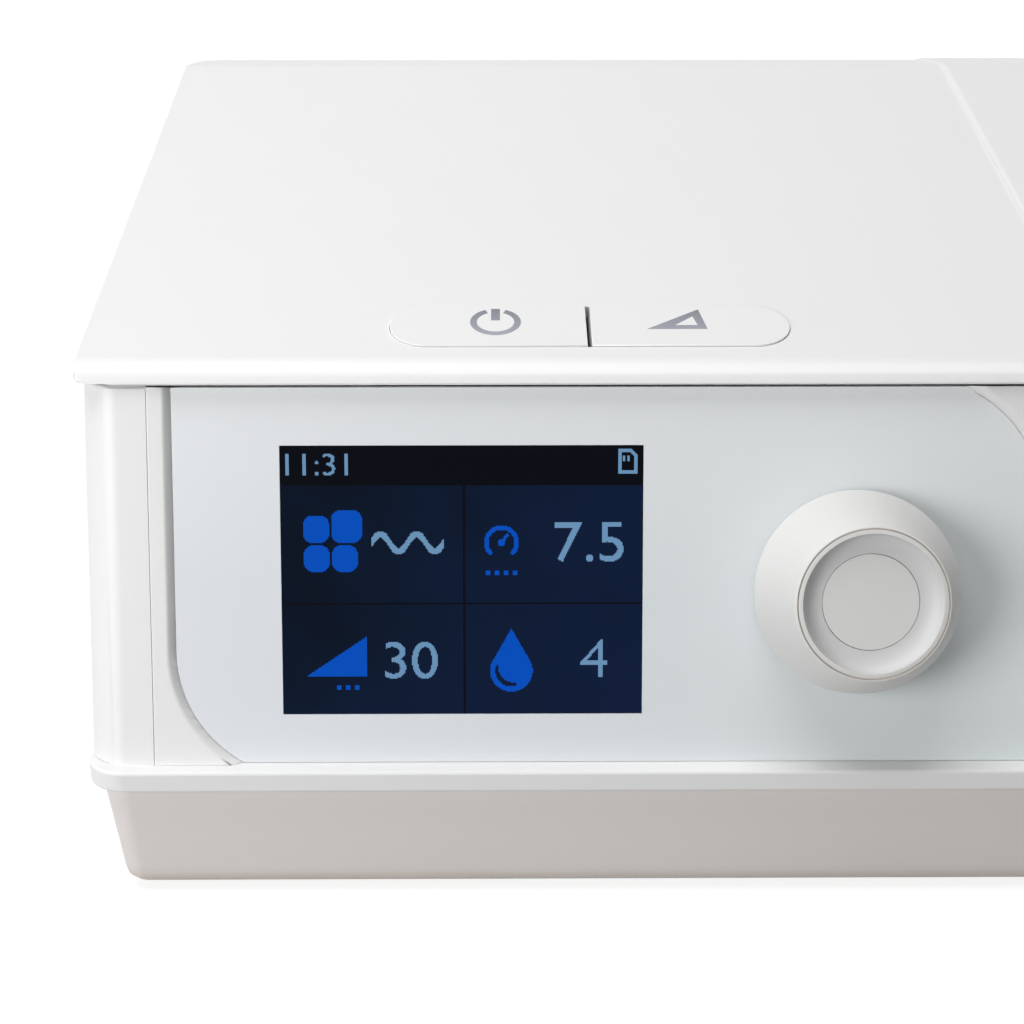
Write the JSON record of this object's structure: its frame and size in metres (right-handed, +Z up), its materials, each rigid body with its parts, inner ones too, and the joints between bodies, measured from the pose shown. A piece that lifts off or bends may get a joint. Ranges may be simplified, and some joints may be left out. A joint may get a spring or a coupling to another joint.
{
  "type": "cpap machine",
  "caption": "Bedside breathing-therapy machine with a colour screen, a push-and-turn knob, flush keys and a slide-out heated water tub.",
  "frame": {"origin": "under the middle of the machine's outline, on the table that its rubber feet stand on", "axes": "+X to the user's right along the machine's width, +Y from the front to the back, +Z up"},
  "size_m": [0.2888, 0.1806, 0.1268],
  "materials": {
    "white_shell": "satin",
    "white_frame": "smooth",
    "warm_base": "fine texture",
    "front_glass": "polished",
    "screen_glass": "polished, lit",
    "knob_white": "satin",
    "key_white": "satin",
    "smoked_tub": "clear, smoked",
    "clear_part": "clear",
    "grey_plastic": "moulded",
    "light_plastic": "moulded",
    "black_plastic": "moulded",
    "rubber_grey": "soft",
    "seal_silicone": "soft",
    "foam_dark": "open-cell foam",
    "filter_cloth": "pleated felt",
    "circuit_green": "lacquered",
    "steel_part": "bright",
    "screen_can": "pressed sheet",
    "heater_metal": "turned",
    "stainless_disc": "brushed",
    "copper_wound": "enamelled wire",
    "magnet_dark": "ground",
    "element_foil": "amber film",
    "cable_flat": "flexible",
    "lead_dark": "sleeved",
    "card_blue": "moulded"
  },
  "bodies": {
    "main_unit": {"bottom_case": "warm_base", "inner_chassis": "light_plastic", "dock_deck": "warm_base", "rubber_feet": "rubber_grey", "case_screws": "steel_part", "upper_housing": "white_shell", "front_bezel": "white_frame", "front_panel": "front_glass", "lcd_screen": "screen_glass", "lcd_module": "screen_can", "top_cover": "white_shell", "control_board": "circuit_green", "board_screws": "steel_part", "encoder_body": "screen_can", "button_switches": "screen_can", "button_board": "circuit_green", "ribbon_cables": "cable_flat", "main_board": "circuit_green", "board_components": "black_plastic", "dc_inlet": "black_plastic", "card_board": "circuit_green", "card_socket": "screen_can", "muffler_box": "grey_plastic", "muffler_lid": "grey_plastic", "muffler_foam": "foam_dark", "air_filter": "filter_cloth", "blower_lower_housing": "light_plastic", "blower_upper_housing": "light_plastic", "blower_mounts": "rubber_grey", "motor_stator": "copper_wound", "motor_bearings": "steel_part", "wire_leads": "lead_dark", "blower_boot": "rubber_grey", "outlet_duct": "light_plastic", "flow_sensor": "black_plastic", "return_duct": "light_plastic", "dock_seals": "seal_silicone", "outlet_port": "light_plastic", "heater_springs": "steel_part"},
    "knob_plunger": {"encoder_slider": "black_plastic"},
    "knob": {"encoder_shaft": "steel_part", "knob_body": "knob_white", "knob_cap": "knob_white"},
    "power_key": {"power_button": "key_white", "power_plunger": "black_plastic"},
    "ramp_key": {"ramp_button": "key_white", "ramp_plunger": "black_plastic"},
    "rotor": {"rotor_shaft": "steel_part", "rotor_magnet": "magnet_dark", "impeller": "light_plastic"},
    "heater_float": {"heater_plate": "heater_metal", "heater_element": "element_foil"},
    "tub": {"tub_body": "smoked_tub", "tub_base_plate": "stainless_disc", "tub_air_guides": "clear_part", "tub_hinge_pins": "steel_part"},
    "tub_lid": {"tub_lid": "white_shell", "lid_seal": "seal_silicone"},
    "filter_door": {"filter_cover": "white_shell"},
    "card": {"memory_card": "card_blue"}
  },
  "joints": [
    {"name": "knob_push", "type": "slide", "parent": "main_unit", "child": "knob_plunger", "axis": [0, 0.9781, -0.2079], "range_m": [0, 0.0005], "stiffness_N_per_m": 6000, "springref_m": -0.0005},
    {"name": "knob_turn", "type": "hinge", "parent": "knob_plunger", "child": "knob", "pos_m": [-0.0209, -0.07298, 0.05183], "axis": [0, -0.9781, 0.2079], "continuous": true},
    {"name": "power_key_press", "type": "slide", "parent": "main_unit", "child": "power_key", "axis": [0, 0.3272, -0.9449], "range_m": [0, 0.0008], "stiffness_N_per_m": 2500, "springref_m": -0.0005},
    {"name": "ramp_key_press", "type": "slide", "parent": "main_unit", "child": "ramp_key", "axis": [0, 0.3272, -0.9449], "range_m": [0, 0.0008], "stiffness_N_per_m": 2500, "springref_m": -0.0005},
    {"name": "rotor_spin", "type": "hinge", "parent": "main_unit", "child": "rotor", "pos_m": [-0.077, 0.01933, 0.069], "axis": [0, 0, 1], "continuous": true},
    {"name": "heater_float", "type": "slide", "parent": "main_unit", "child": "heater_float", "axis": [0, 0, -1], "range_m": [0, 0.0012], "stiffness_N_per_m": 3000, "springref_m": -0.002, "deforming": ["heater_springs"]},
    {"name": "tub_slide", "type": "slide", "parent": "main_unit", "child": "tub", "axis": [1, 0, 0], "range_m": [0, 0.105]},
    {"name": "tub_lid_hinge", "type": "hinge", "parent": "tub", "child": "tub_lid", "pos_m": [0.09615, 0.07063, 0.08015], "axis": [-1, 0, 0], "range_deg": [0, 95]},
    {"name": "filter_door_hinge", "type": "hinge", "parent": "main_unit", "child": "filter_door", "pos_m": [-0.097, 0.06893, 0.0437], "axis": [-1, 0, 0], "range_deg": [0, 80]},
    {"name": "card_slide", "type": "slide", "parent": "main_unit", "child": "card", "axis": [-1, 0, 0], "range_m": [0, 0.028]}
  ]
}
